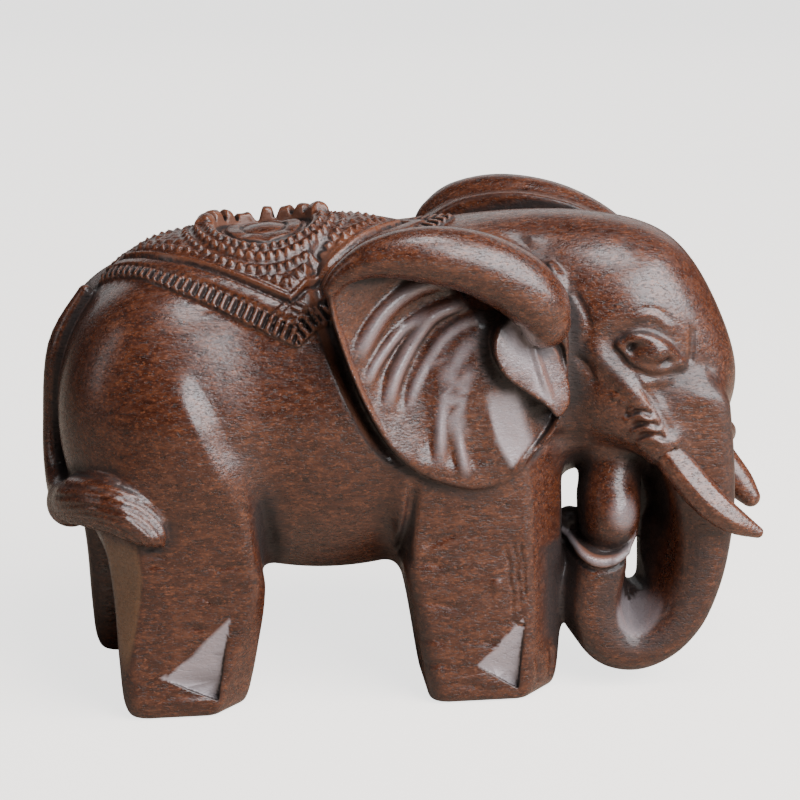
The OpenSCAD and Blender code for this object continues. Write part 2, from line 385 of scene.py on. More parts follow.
FORE_SEAMS = [
    [(14.2, 27.5), (14.5, 25.2), (15.1, 23), (15.0, 20.8), (15.6, 18.6), (15.5, 16.2), (15.9, 13.9)],
    [(15.4, 28.4), (15.7, 26), (16.3, 24), (16.2, 21.6), (16.8, 19.4), (16.7, 17), (17, 14.6)],
    [(16.8, 28.2), (16.9, 25), (17.4, 22.4), (17.4, 19.6), (17.8, 16.8)],
    [(15.4, 14.2), (16.4, 13.3), (17.8, 13.0)]]
KNEE_KNOB = (13.0, 20.1)
FORE_CREASE = [(-0.4, 40), (-0.8, 33), (-1.6, 26.5), (-1.2, 23)]
TOES = [[(19.6, 7.4), (20.2, 4.8), (19.8, 2.0)], [(22.2, 8.0), (22.8, 5.0), (22.2, 2.0)]]


def flank_strokes(x, z):
    gap, share, side = nearest(x, z, HAUNCH_RIDGE)
    behind = -gap * side
    height = 1.5 * run_out(share, 0.4) * ease((behind + 2.6) / 4.4) * (1 - ease(behind / 18))
    height += swell(x, z, FLANK_CREASE, 3.2, -0.8, ends=0.4)
    for lines, half, depth, ends in ((HIND_WRINKLES, 0.7, 0.35, 0.4), (FORE_WRINKLES, 0.9, 0.33, 0.4),
                                     (FORE_SEAMS, 0.45, 0.35, 0.2), (TOES, 0.6, 0.3, 0.2)):
        height += add_all(cut, x, z, lines, half, depth, ends=ends)
    height += 0.35 * np.maximum(0, 1 - ((x - KNEE_KNOB[0]) ** 2 + (z - KNEE_KNOB[1]) ** 2) / 1.6)
    return height + swell(x, z, FORE_CREASE, 1.5, -0.8, ends=0.3)


FLANK = Table(flank_strokes, (-64, -4), (34, 84))


def flank(p):
    """The flank strokes, on both sides; the left legs stand a little apart from the right."""
    shift = np.interp(p[:, 0], (-30, 0), (HIND_STAGGER[0], FORE_STAGGER[0])) * (p[:, 1] > 0)
    return FLANK(p[:, 0] - shift, p[:, 2]) * ease((np.abs(p[:, 1]) - 10) / 5)


# ---------- the saddle-cloth
SPINE_Z = 46.0
DEGREE = 0.43  # one degree round the back, in millimetres
CORNER = (-18.2, 54.8)  # the cloth's lowest corner: x, degrees from the top
RIB_PITCH, RIB_BAND, PLAIN_BAND = 1.3, 3.1, 5.2
MEDALLION = (-22.0, 0.0)
KNOBS, KNOB_RING = 17, 9.6


def edge_of_cloth(x, turn):
    """How far inside the cloth's edge a point is, for its rear arm and for its front arm."""
    back = x - 0.09 * np.maximum(-36 - x, 0) ** 2
    rear = (CORNER[1] + 1.2 * (back - CORNER[0]) - turn) * DEGREE * 0.889
    front = (CORNER[1] - 2.0 * (x - CORNER[0]) - turn) * DEGREE * 0.758
    return rear, front


def teeth(along, across, pitch, width, height):
    """A row of small pyramids."""
    side = np.abs((along / pitch) % 1 - 0.5) * 2
    return height * np.maximum(0, 1 - np.maximum(side, np.abs(across) / width))


def cloth_strokes(x, turn):
    rear, front = edge_of_cloth(x, turn)
    e = np.minimum(rear, front)
    on_rear = rear < front
    along = np.where(on_rear, x * 0.889 + turn * DEGREE * 0.459, x * 0.758 - turn * DEGREE * 0.652)
    height = 0.9 * ease(e / 0.5)
    rib = np.abs((along / RIB_PITCH) % 1 - 0.5) * 2
    ribbed = ease((e - 0.3) / 0.4) * ease((RIB_BAND - e) / 0.4)
    height -= 0.85 * ribbed * ease((rib - 0.35) / 0.5)
    height -= 0.45 * peak(e - RIB_BAND, 0.4)
    height -= 0.65 * peak(e - PLAIN_BAND - 0.3, 0.55)
    height += 0.4 * peak(e - PLAIN_BAND - 1.0, 0.6)
    spot = np.maximum(np.abs(rear - 4.0), np.abs(front - 4.2))
    height += 0.45 * ease((2.4 - spot) / 0.3) * (0.4 + 0.6 * (np.cos(spot * 2 * math.pi / 0.95) > 0))
    inner = e - PLAIN_BAND
    field = ease((inner - 2) / 0.5)
    height += teeth(along, inner - 2.8, 1.5, 1.0, 0.8)
    height += teeth(along + 0.75, inner - 4.6, 1.9, 0.9, 0.6) * field
    weave = np.sin(rear * 2.9) * np.sin(front * 2.9)
    return height + 0.22 * weave * ease((inner - 5.2) / 0.6)


CLOTH = Table(cloth_strokes, (-60, 0), (22, 62), 0.12)


def medallion_strokes(x, y):
    u, v = x - MEDALLION[0], y - MEDALLION[1]
    r, turn = np.hypot(u, v), np.arctan2(v, u)
    height = 0.3 * ease((11.6 - r) / 0.6) - 1.0 * ease((8.2 - r) / 0.8)
    for ring, depth in ((7.2, 0.55), (6.4, 0.35), (3.6, 0.5)):
        height -= depth * peak(r - ring, 0.45)
    height += 0.5 * np.maximum(0, 1 - (r / 3.0) ** 2)
    height += 0.3 * np.abs(np.sin(turn * 4)) * ease((r - 3.9) / 0.4) * ease((6.2 - r) / 0.4)
    wander = 0.25 * np.sin(turn * 5 + 1) + 0.2 * np.sin(turn * 9)
    lobe = np.abs(np.cos(turn * KNOBS / 2 + wander))
    crest = np.maximum(0, 1 - ((r - KNOB_RING + 0.5 * wander) / 1.7) ** 2)
    far = ease((v + 1) / 5)
    height += far * (1.9 + wander) * np.sqrt(crest) * ease(lobe * 1.35 - 0.12)
    for ring, count, size in ((9.2, 19, 0.8), (10.9, 22, 0.7), (12.7, 26, 0.6)):
        near = 1 if ring > 12 else 1 - far
        bead = ease(np.abs(np.cos(turn * count + wander)) * 1.4 - 0.2)
        height += size * near * peak(r - ring, 0.8) * bead
    return height


MEDALLION_TOP = Table(medallion_strokes, (-38, -16), (-6, 16), 0.12)


def cloth(p):
    x, y = p[:, 0], p[:, 1]
    turn = np.degrees(np.arctan2(np.abs(y), p[:, 2] - SPINE_Z))
    r = np.hypot(x - MEDALLION[0], y - MEDALLION[1])
    on_back = (p[:, 2] > SPINE_Z) & (x > -60) & (x < 20) & (turn < 61)
    disc = ease((13.9 - r) / 0.4)
    return on_back * (CLOTH(x, turn) * (1 - disc) + (0.9 + MEDALLION_TOP(x, y)) * disc)


# ---------- the head
HEAD_TURN = 20.0
NECK = (30.0, -3.0, 0.0)
HEAD_AXES = turned("z", -HEAD_TURN)


def in_head(p):
    """Points in the turned head's own frame: forward, left, up."""
    return (p - vec(*NECK)) @ HEAD_AXES


CHEEK_RIDGE = [(2.2, 59.2), (6.1, 56.2), (9.0, 53.3), (11, 50.4), (13.2, 47.0), (15.0, 43.2)]
CHEEK_SEAMS = [
    [(9.4, 54.6), (10.9, 52.8), (12.8, 50.2), (14.4, 47.6), (15.9, 45.2), (17.2, 43)],
    [(18.4, 60.6), (18.6, 57.4), (18.4, 54.6)],
    [(20.6, 56), (21.6, 53.4), (22.6, 51.2), (23, 49.5), (22.2, 47.6), (20.8, 46.8)]]
SHEATH_WRINKLES = [
    [(8.6, 46.8), (10.4, 48), (12, 48.1), (13.6, 47.3)],
    [(9.6, 44.8), (11.6, 46.1), (13.2, 46.2), (14.8, 45.3)],
    [(10.8, 43), (12.4, 44.3), (14, 44.4), (15.6, 43.5)]]
CHEEK_WARTS = [(7.5, 50.4), (8.6, 49.4), (9.9, 48.2)]
LID_FOLD = [(9.4, 63.0), (10.6, 63.9), (12, 64.2), (13.4, 63.7), (14.8, 62.4), (15.8, 61)]
LOWER_BAG = [(9.4, 54.4), (12, 52.8), (15, 52.6), (17, 53.2)]
TEMPLE_SEAMS = [[(0, 67), (2.4, 63.6), (3.4, 60)], [(0.6, 57), (3, 54.6), (4.4, 51.6)]]
EYE = (12.1, -12.3, 57.2)
ORBIT = ((12.4, -16.2, 58.0), (6.6, 2.9, 4.6))
UPPER_LID = [(17.0, -9.7, 54.9), (14.9, -11.6, 57.6), (12.3, -12.9, 59.3), (9.9, -13.5, 59.7),
             (7.8, -13.9, 58.6)]
LOWER_LID = [(17.0, -9.7, 54.9), (14.5, -11.9, 54.6), (12.2, -13.1, 54.9), (9.8, -13.7, 56.2),
             (7.8, -13.9, 58.6)]
TEAR_KNOB = (16.6, -10.2, 55.2)
EAR_LEDGE = [(-3.8, -12.0, 70.4), (-2.6, -12.8, 68.4), (-1.6, -13.6, 66.2)]
# The fold across the front of the trunk's root
ROOT_FOLD = [(21.0, -6, 41.6), (23.0, -2, 41.0), (23.3, 3, 40.3), (21.6, 7, 40.4)]


def below(line, drop=0.9):
    return [(f, z - drop) for f, z in line]


def head_strokes(f, z):
    height = swell(f, z, CHEEK_RIDGE, 3.0, 1.1, ends=0.2)
    height += add_all(cut, f, z, CHEEK_SEAMS, 0.7, 0.5)
    height += swell(f, z, LOWER_BAG, 1.3, 0.35, ends=0.4)
    height += add_all(cut, f, z, SHEATH_WRINKLES, 0.7, 0.55)
    height += add_all(swell, f, z, [below(line) for line in SHEATH_WRINKLES], 0.8, 0.35)
    height += cut(f, z, LID_FOLD, 0.5, 0.25)
    height += swell(f, z, below(LID_FOLD), 1.1, 0.25)
    height += add_all(cut, f, z, TEMPLE_SEAMS, 0.8, 0.35)
    for a, b in CHEEK_WARTS:
        height += 0.4 * np.maximum(0, 1 - ((f - a) ** 2 + (z - b) ** 2) / 0.6)
    return height


FACE = Table(head_strokes, (-10, 34), (32, 82))


def eyes(mirrored, d):
    """Both eyes: the hollow of the orbit, the eyeball, the two lids and the tear knob."""
    near = (np.abs(mirrored - vec(*EYE)) * vec(1, 0, 1)).sum(axis=1) < 18
    m = mirrored[near]
    e = carve(d[near], ball(m, *ORBIT), 3.0)
    e = join(e, ball(m, EYE, (3.2, 1.9, 2.0)), 0.4)
    for lid, r in ((UPPER_LID, 0.85), (LOWER_LID, 0.55)):
        e = join(e, rope(m, lid, [r * 0.6, r, r * 1.15, r, r * 0.5]), 1.1)
    e = join(e, ball(m, TEAR_KNOB, (0.8, 0.7, 0.9)), 0.3)
    d[near] = e
    return d


def skull(p):
    q = in_head(p)
    d = ball(q, (4.4, 0, 60.8), (15.4, 14.2, 15.0))
    d = join(d, ball(q, (-8, 0, 58), (15, 14, 18)), 8)
    d = join(d, ball(q, (9.6, 0, 50.4), (15.4, 10.5, 15.5)), 6)
    for side in (-1, 1):
        d = join(d, ball(q, (6, side * 8.5, 50), (8, 6, 11), turned("y", 25)), 4)
        d = join(d, limb(q, (7, side * 9.5, 48), (14.2, side * 11.2, 42), 5, 3.5), 3)
    d = join(d, ball(q, (0, 0, 42), (12, 9, 8)), 5)
    d = d - FACE(q[:, 0], q[:, 2]) * ease((np.abs(q[:, 1]) - 5) / 4)
    mirrored = q.copy()
    mirrored[:, 1] = -np.abs(q[:, 1])
    d = join(d, rope(q, ROOT_FOLD, [0.4, 1.7, 1.9, 0.6]), 1.4)
    d = join(d, rope(mirrored, EAR_LEDGE, [0.4, 1.0, 0.4]), 0.8)
    return eyes(mirrored, d)


# ---------- the trunk and the lower lip
TRUNK_Y = -12.0
# x, z and radius along the trunk's middle
TRUNK = Spine([
    (43.8, 46, 6.5), (45.6, 38, 5.6), (46.8, 30, 4.7), (46.8, 23, 4.1), (45.8, 17, 3.8),
    (43.7, 11.4, 3.6), (40.4, 7.4, 3.5), (36.2, 5.8, 3.5), (32.2, 7.8, 3.8), (29.8, 13.5, 4.2),
    (30.6, 20.4, 4.1)])
# The loop's inner edge on its right face. Behind it the wood slopes in to a narrow slit.
LOOP = outline([
    (34.7, 24.6), (36.0, 34.5), (40.1, 36.0), (43.0, 29.6), (43.3, 22.6), (43.0, 18.6), (42.0, 14.6),
    (40.8, 11.4), (38.4, 8.8), (35.4, 8.6), (33.3, 10.9), (32.9, 14.6), (33.3, 17.9), (34.2, 21)],
    margin=6.0)
SLIT = ((38.5, 21.0), (38.7, 15.4), 1.3)
WEB_SLOPE, WEB_DEEPEST, WEB_BACK = 2.6, 3.6, 6.5
RING_Z, RING_RISE = 22.6, 0.1  # the band round the trunk's tip, and how its ends rise


def off_ring(x, z):
    """Distance from the middle of the ring."""
    return np.abs(z - RING_Z - RING_RISE * (x - 30.6) ** 2)


def web(x, y, z):
    """The wood left inside the loop, funnelled from the right face down to the slit."""
    edge = LOOP(x, z)
    slope = np.interp(z, (9, 19), (0.9, WEB_SLOPE))
    face = -5.5 + slope * np.maximum(-edge, 0) + 8 * ease((z - 25) / 7)
    face = np.minimum(face, WEB_DEEPEST)
    d = np.maximum(edge - 1.0, np.maximum((face - y) / WEB_SLOPE, y - WEB_BACK))
    (ax, az), (bx, bz), radius = SLIT
    t = np.clip((z - az) / (bz - az), 0, 1)
    return carve(d, np.hypot(x - ax - (bx - ax) * t, z - az - (bz - az) * t) - radius, 0.6)


def trunk(p):
    """The curled trunk, drawn in side view and rounded over to its two faces."""
    y = p[:, 1] - TRUNK_Y
    x, z = p[:, 0] + 0.2 * y * np.clip((p[:, 0] - 32) / 16, 0, 1), p[:, 2]
    gap, radius = TRUNK(x, z)
    d = gap - radius - 0.07 * (y + 8)
    d = meet(d, np.abs(y) - 8.0, 4.0)
    d = join(d, web(x, y, z), 1.2)
    off = off_ring(x, z)
    band = np.sqrt(np.maximum(0, 1 - off ** 2))
    band -= 0.3 * peak(off - 1.6, 0.6)
    return d - band * (x < 37) * (z > 15)


LIP_HIGHLIGHT = (34.2, -19.2, 30.4)  # where a highlight is painted on the lip


def lip(p):
    """The lower lip's ball in the trunk's tip, its neck, and the wood left between it and the leg."""
    d = ball(p, (32.8, -13, 28.6), (5.0, 6.8, 7.6))
    d = join(d, limb(p, (33.0, -12, 33), (34, -9, 42), 4.6, 7), 3)
    return join(d, limb(p, (27.2, -8.5, 26.0), (27.2, -7.5, 16), 2.2, 2.2), 1.5)


# ---------- the ears
EAR_EDGE = outline([
    (-14, 70.5), (-13.6, 66.4), (-12.3, 62), (-10.4, 56.5), (-7.6, 50), (-4.2, 44.2), (-0.2, 40.3),
    (4.1, 38), (9.2, 36.6), (14, 37.5), (18.1, 41), (22.5, 45.5), (24, 52), (24, 62), (21, 70),
    (12, 76), (2, 78), (-7, 76.5), (-12.6, 73)])
LOBE_EDGE = outline([
    (15.4, 65.2), (13.0, 63.4), (11.9, 61.5), (11.7, 59.6), (12.4, 57.3), (13.8, 55.3), (15.9, 53.5),
    (18.3, 51.7), (20.5, 49.9), (22.2, 48.1), (24.2, 49.7), (24.4, 52.3), (23.6, 55.7), (22.6, 58.6),
    (20.4, 61), (17.4, 63.6)])
# x, z, height above the blade and radius along the rolled rim, and along the hollow below it
EAR_ROLL = Spine([
    (-13.6, 70.6, -1, 1.2), (-11.5, 73, -0.5, 1.9), (-7, 75.2, 0.3, 3.0), (0, 75.6, 1.0, 4.2),
    (8, 74, 1.5, 4.8), (14.6, 70.6, 1.8, 5.0), (18.8, 66.6, 1.8, 4.7), (20, 63.6, 1.4, 4.0)])
EAR_HOLE = Spine([
    (1.4, 70.4, -1.4, 0.8), (6.6, 69.8, -2.2, 2.8), (11.0, 67.8, -2.8, 3.8), (12.2, 63.6, -2.4, 2.8),
    (10.9, 60.4, -1.8, 1.9), (10.7, 57.2, -1.6, 1.6), (12.4, 54.2, -1.5, 1.5), (15.4, 51.8, -1.4, 1.4),
    (19.2, 48.6, -1.0, 0.9)])
# Each flute's line, from the rim inwards, with half its width and its height
FLUTES = [
    ([(-9.6, 58.6), (-7.1, 63.1), (-4.0, 66.5), (0.7, 69.2), (5.7, 70.1)], 2.1, 1.0),
    ([(-8.3, 54.5), (-6.3, 58.0), (-3.5, 61.1), (-0.1, 63.7), (3.4, 65.2)], 1.4, 0.55),
    ([(-4.9, 50.2), (-3.8, 54.3), (-1.9, 58.0), (2.0, 63.6), (5.4, 65.4), (9.2, 66.0)], 1.9, 0.95),
    ([(-1.4, 49.4), (0.1, 54.0), (3.6, 59.6), (5.9, 61.8), (8.6, 63.2), (11.2, 63.7)], 1.5, 0.65),
    ([(3.5, 40.8), (3.7, 45.9), (4.1, 49.5), (6.0, 56.4), (7.6, 59.0), (9.8, 61.1)], 1.9, 1.15),
    ([(8.0, 38.2), (6.7, 44.0), (6.5, 48.1), (7.6, 54.0), (9.0, 56.3)], 1.6, 0.95)]
DISH = (10.0, 66.0)  # the middle of the hollow that the blade slopes in to
FACET_EDGE = [(10.6, 53.5), (11, 49.5), (12.6, 43.6), (15.2, 38)]
LOBE_CREASE = [(17.6, 62.4), (18.4, 59.4), (19.2, 56.6), (20.2, 53.6), (21.6, 50.4)]


def flute(x, z, line, half, height):
    """A round ridge with a hollow down each side."""
    gap, share, _ = nearest(x, z, line)
    ridge = np.where(gap < half, 0.3 + 0.7 * np.cos(math.pi * gap / half),
                     0.4 * (ease((gap - half) / half) - 1))
    return height * run_out(share, 0.25) * ridge


def fan(x, z):
    """The dished blade with its folds, and the flat facet below its lobe."""
    from_middle = np.hypot(x - DISH[0], z - DISH[1])
    height = -np.clip(0.3 * (26 - from_middle), 0, 4.2) * ease((13 - x) / 5)
    height = height + sum(flute(x, z, *row) for row in FLUTES)
    height += cut(x, z, [(-13, 64), (-11.5, 58), (-9, 52)], 0.7, 0.3)
    gap, _, side = nearest(x, z, FACET_EDGE)
    tilt = 0.36 * np.minimum(gap, 6) + 0.2 * np.clip(z - 46, -5, 5)
    height -= np.where(side > 0, tilt * ease(gap / 1.2), 0) * ease((55 - z) / 5)
    height += cut(x, z, [(16.2, 44.5), (17.2, 42.6), (17, 40.6), (16.4, 38)], 0.9, 0.7, ends=0.15)
    return height - 1.2 * ease(1 - np.abs(LOBE_EDGE(x, z) - 0.2) / 1.0)


def lobe_top(x, z):
    """The lobe stands highest at its rear and falls away forwards, with one crease down it."""
    height = 2.9 - 0.3 * (x - 12) - 0.26 * (z - 57)
    return height + swell(x, z, LOBE_CREASE, 1.0, 0.7, ends=0.3)


FAN = Table(fan, (-22, 30), (32, 84))
LOBE_TOP = Table(lobe_top, (8, 38), (30, 70))


def ear_highlight(x, z):
    """How strongly a highlight is painted on the ear: the tops of the folds, the facet and the rear of
    the lobe.
    """
    highlight = np.zeros(np.shape(x))
    for line, half, _ in FLUTES:
        gap, share, _ = nearest(x, z, line)
        highlight = np.maximum(highlight, ease(1.2 - gap / (0.6 * half)) * run_out(share, 0.2))
    gap, _, side = nearest(x, z, FACET_EDGE)
    facet = (side > 0) * ease(gap / 0.8) * ease((6.5 - gap) / 2) * ease((53 - z) / 2)
    highlight = np.maximum(0.8 * highlight, facet * ease((-1.2 - EAR_EDGE(x, z)) / 0.6))
    _, _, side = nearest(x, z, LOBE_CREASE)
    in_lobe = LOBE_EDGE(x, z)
    lobe = np.where(side < 0, 0.9, 0.3) * ease((-0.5 - in_lobe) / 0.5)
    return np.where(in_lobe < 1.2, lobe, highlight)


EAR_HIGHLIGHT = Table(ear_highlight, (-22, 30), (32, 84))


def tube(spine, x, z, outward):
    gap, height, radius = spine(x, z)
    return np.hypot(gap, outward - height) - radius


def ear(p, slope, edge_y):
    """A right ear: p mapped to (along, outward, up) from the blade's own plane."""
    outward = -(p[:, 1] - (-edge_y + slope * (p[:, 0] + 14))) * math.cos(math.atan(slope))
    x, z = p[:, 0], p[:, 2]
    rim = EAR_EDGE(x, z)
    face = outward - FAN(x, z) * ease(-rim / 1.2)
    blade = meet(rim, np.maximum(-5.5 - outward, face), 1.0)
    d = join(blade, tube(EAR_ROLL, x, z, outward), 0.6)
    d = carve(d, tube(EAR_HOLE, x, z, outward), 1.0)
    lobe = meet(LOBE_EDGE(x, z), np.maximum(-5 - outward, outward - LOBE_TOP(x, z)), 0.5)
    return join(d, lobe, 0.3)


def moat(x, z):
    """The undercut that parts the ear's rear edge from the flank."""
    return -1.8 * ease(1 - np.abs(EAR_EDGE(x, z) - 0.6) / 2.2) * ease((z - 39) / 9)


MOAT = Table(moat, (-20, 30), (20, 84))
LEFT_EAR = (19.8, 0, -1.2)  # how far the left ear stands from the right one's mirror image


def moats(p):
    right = p[:, 1] < 0
    x, z = p[:, 0] - np.where(right, 0, LEFT_EAR[0]), p[:, 2] - np.where(right, 0, LEFT_EAR[2])
    return MOAT(x, z) * ease((np.abs(p[:, 1]) - 6) / 4)


def ears(p):
    right = within(p, (-16, -34, 35), (27, -12, 82), lambda q: ear(q, 0.15, 26.0))
    left = within(as_right(p, 1, LEFT_EAR), (-16, -34, 35), (27, -5, 82),
                  lambda q: ear(q, 0.42, 24.0))
    return np.minimum(right, left)


def painted_highlight(p):
    """1 where a highlight is painted on: the knife cuts, the ears' folds, the trunk's ring and web, and
    a spot on the lip.
    """
    highlight = np.zeros(len(p))
    for side in (-1, 1):
        for _, _, corners, stagger in LEGS:
            q = as_right(p, side, stagger)
            over_flat, over_lip, behind_front = over_slice(q, *corners)
            near = length(q - vec(*np.mean(corners, axis=0))) < 9
            on_cut = (np.abs(over_flat) < 0.07) & (over_lip > -0.05) & (behind_front > -0.05)
            highlight[on_cut & near] = 1
        q = as_right(p, side, LEFT_EAR)
        highlight = np.maximum(highlight, EAR_HIGHLIGHT(q[:, 0], q[:, 2]) * (q[:, 1] < -17))
    x, z = p[:, 0], p[:, 2]
    foot = ease(-LOOP(x, z) / 0.8) * ease((15.5 - z) / 3) * (p[:, 1] < TRUNK_Y)
    ring = ease(1.5 - off_ring(x, z) / 0.6) * (np.abs(x - 31) < 5.5) * (np.abs(z - 24) < 4)
    lip_highlight = ease(1.4 - length(p - vec(*LIP_HIGHLIGHT)) / 2.6)
    return np.maximum.reduce((highlight, 0.55 * foot, 0.6 * ring, 0.55 * lip_highlight))


# ---------- the tail
TAIL_ROUTE = [(-50.8, 0, 65), (-54.9, 0, 56), (-56.2, -1, 43), (-55.8, -4, 36), (-54, -11, 33)]
TAIL_RADII = [1.2, 2.3, 2.3, 2.6, 3.4]
TUFT_ROUTE = [(-54.5, -11, 33.4), (-52, -17, 35.8), (-47.5, -21.5, 36.3), (-43, -23.8, 33.6),
              (-40.2, -24, 30.6)]
TUFT_RADII = [3.2, 4.0, 4.3, 3.0, 0.6]
HAIR_CENTRE, HAIR_PITCH = (-50.1, 27.4), 1.1
TUFT_FLAT = ((-44.5, -23.4, 34.4), (0.5, -0.75, 0.43), 2.7)


def tail(p):
    """The tail hangs down and swings round the right leg, to a tuft with its hair scored in."""
    tuft = rope(p, TUFT_ROUTE, TUFT_RADII)
    spot, normal, height = TUFT_FLAT
    tuft = meet(tuft, (p - vec(*spot)) @ vec(*normal) - height, 0.3)
    ring = np.hypot(p[:, 0] - HAIR_CENTRE[0], p[:, 2] - HAIR_CENTRE[1])
    hair = np.abs(np.sin(ring * math.pi / HAIR_PITCH)) * ease((-13 - p[:, 1]) / 4)
    return join(rope(p, TAIL_ROUTE, TAIL_RADII), tuft - 0.22 * hair, 2)


# ---------- the tusks and their sockets
# Forward, left and up in the head's frame, and radius, along each tusk: -1 is the right one.
# The left one, mirrored here, droops more.
TUSKS = {
    -1: [(14, -11.5, 42.3, 2.3), (17, -12.1, 39.1, 2.65), (20.2, -12.4, 35.5, 2.75),
         (23.4, -12.3, 32.4, 2.6), (26.8, -11.8, 29.9, 2.1), (30.4, -10.9, 28.0, 1.0)],
    1: [(14, -11.5, 42.3, 2.3), (17, -12.1, 39.1, 2.6), (19.8, -12.2, 35.4, 2.75),
        (22.6, -11.8, 31.9, 2.8), (25.3, -11.2, 28.8, 2.6), (27.6, -10.5, 26.4, 1.7)]}
TUSK_FLATS = [((0.25, -0.05, 0.97), 0.80), ((0.5, -0.72, 0.48), 0.86), ((0.1, -0.88, -0.46), 0.88),
              ((-0.2, 0.5, 0.84), 0.86)]
FIRST_FLAT = 4.0  # the flats start this far from the sheath
TENON_R, TENON_L, GLUE_GAP, SEAT_GAP, SEAT_DEPTH = 1.5, 6.0, 0.1, 0.04, 2.5
TUSK_SEAT = np.array(TUSKS[-1][0][:3])
TUSK_LINE = np.array(TUSKS[-1][1][:3]) - TUSK_SEAT
TUSK_LINE = vec(*TUSK_LINE / np.linalg.norm(TUSK_LINE))


def on_side(p, side):
    """Points in the head's frame, with the left tusk's brought over to the right."""
    return in_head(p) * vec(1, -side, 1)


def round_bar(q, start, stop, radius):
    """A straight bar with flat ends, along the tusk's first stretch."""
    off = q - vec(*TUSK_SEAT)
    run = off @ TUSK_LINE
    around = length(off - run[:, None] * TUSK_LINE) - radius
    return np.maximum(around, np.maximum(start - run, run - stop))


def tusk(p, side):
    """A curved horn, whittled with a few long flats, on a round tenon."""
    q = on_side(p, side)
    from_seat = q - vec(*TUSK_SEAT)
    started = ease(length(from_seat) / FIRST_FLAT)
    rows = smooth_route(TUSKS[side], 6)
    d = None
    for a, b in zip(rows[:-1], rows[1:]):
        start, ba = vec(*a[:3]), vec(*(b[:3] - a[:3]))
        pa = q - start
        t = np.clip(pa @ ba / float(ba @ ba), 0, 1)
        off, radius = pa - t[:, None] * ba, a[3] + (b[3] - a[3]) * t
        one = length(off) - radius
        for normal, share in TUSK_FLATS:
            one = meet(one, off @ vec(*normal) - (1 - (1 - share) * started) * radius, 0.2)
        d = one if d is None else np.minimum(d, one)
    d = meet(d, -from_seat @ TUSK_LINE, 0.15)
    return np.minimum(d, round_bar(q, -TENON_L, 1.0, TENON_R))


def socket(p, side):
    q = on_side(p, side)
    seat = round_bar(q, -0.05, SEAT_DEPTH, TUSKS[side][0][3] + SEAT_GAP)
    return np.minimum(seat, round_bar(q, -TENON_L - 0.3, 1.0, TENON_R + GLUE_GAP))


# ---------- the whole block

def block(p):
    d = join(barrel(p) - cloth(p), legs(p), 3.0) - flank(p) - moats(p)
    d = join(d, within(p, (5, -32, 28), (60, 20, 80), skull), 5)
    d = join(d, within(p, (22, -22, -1), (56, -2, 54), trunk), 2.5)
    d = join(d, within(p, (22, -22, 18), (44, 2, 50), lip), 1.2)
    d = join(d, ears(p), 0.8)
    return join(d, within(p, (-62, -29, 26), (-36, 4, 64), tail), 0.8)


def carving(p):
    """The block with its two sockets bored."""
    d = block(p)
    for side, low, high in ((-1, (34, -26, 30), (54, -6, 54)), (1, (40, -4, 30), (62, 12, 54))):
        d = np.maximum(d, -within(p, low, high, lambda q: socket(q, side), reach=2))
    return d


def everything(p):
    d = carving(p)
    for side in (-1, 1):
        d = np.minimum(d, within(p, (32, -26, 24), (66, 14, 54), lambda q: tusk(q, side)))
    return d


# ---------- the meshes
STEP = 0.34  # spacing of the surface samples, mm
TUSK_STEP = STEP * 0.6
BLOCK = 4  # samples along one block of the first, rough pass
NEAR = 7  # how far the surface may be from a fine block, in steps
THREADS, SHARE = 4, 40000  # workers, and about how many points each takes at a time


def added(name, data):
    """A new object in the scene."""
    item = bpy.data.objects.new(name, data)
    bpy.context.scene.collection.objects.link(item)
    return item


def measured(shape, points):
    """The shape's distances at many points, worked out side by side in single precision."""
    shares = np.array_split(points.astype(np.float32), max(1, len(points) // SHARE))
    with ThreadPoolExecutor(THREADS) as pool:
        return np.concatenate(list(pool.map(shape, shares)))


def sampled(shape, low, high, step):
    """Distances on a grid, worked out finely only near the surface."""
    blocks = np.ceil((high - low) / (step * BLOCK)).astype(int)
    corners = np.indices(blocks).reshape(3, -1).T * BLOCK
    rough = measured(shape, low + (corners + (BLOCK - 1) / 2) * step)
    grid = np.repeat(rough.astype(np.float32), BLOCK ** 3).reshape(len(rough), -1)
    near = np.abs(rough) < NEAR * step
    inner = np.indices((BLOCK,) * 3).reshape(3, -1).T
    nodes = (corners[near][:, None] + inner).reshape(-1, 3)
    grid[near] = measured(shape, low + nodes * step).reshape(-1, BLOCK ** 3)
    grid = grid.reshape(*blocks, BLOCK, BLOCK, BLOCK).transpose(0, 3, 1, 4, 2, 5)
    return grid.reshape(blocks * BLOCK)


def netted(grid):
    """Surface net: one point in each cell the surface crosses, and the quads that join them."""
    rings, crossings = [], []
    for axis in range(3):
        first = [slice(None)] * 3
        second = [slice(None)] * 3
        first[axis], second[axis] = slice(0, -1), slice(1, None)
        a, b = grid[tuple(first)], grid[tuple(second)]
        where = np.nonzero((a < 0) != (b < 0))
        a, b = a[where], b[where]
        cell = np.stack(where, axis=1)
        crossing = cell.astype(float)
        crossing[:, axis] += a / (a - b)
        ring = []
        for back_u, back_v in ((0, 0), (1, 0), (1, 1), (0, 1)):
            corner = cell.copy()
            corner[:, (axis + 1) % 3] -= back_u
            corner[:, (axis + 2) % 3] -= back_v
            ring.append(np.ravel_multi_index(corner.T, grid.shape))
        ring = np.stack(ring, axis=1)
        ring[a > 0] = ring[a > 0][:, ::-1]
        rings.append(ring)
        crossings.append(np.repeat(crossing, 4, axis=0))
    rings, crossings = np.concatenate(rings), np.concatenate(crossings)
    quads = np.unique(rings.ravel(), return_inverse=True)[1]
    tally = np.bincount(quads)
    points = np.stack([np.bincount(quads, crossings[:, i]) / tally for i in range(3)], axis=1)
    return points, quads.reshape(-1, 4)


def slope_of(shape, points, reach=0.04):
    return np.stack([(measured(shape, points + reach * axis) - measured(shape, points - reach * axis))
                     / (2 * reach) for axis in np.eye(3)], axis=1)


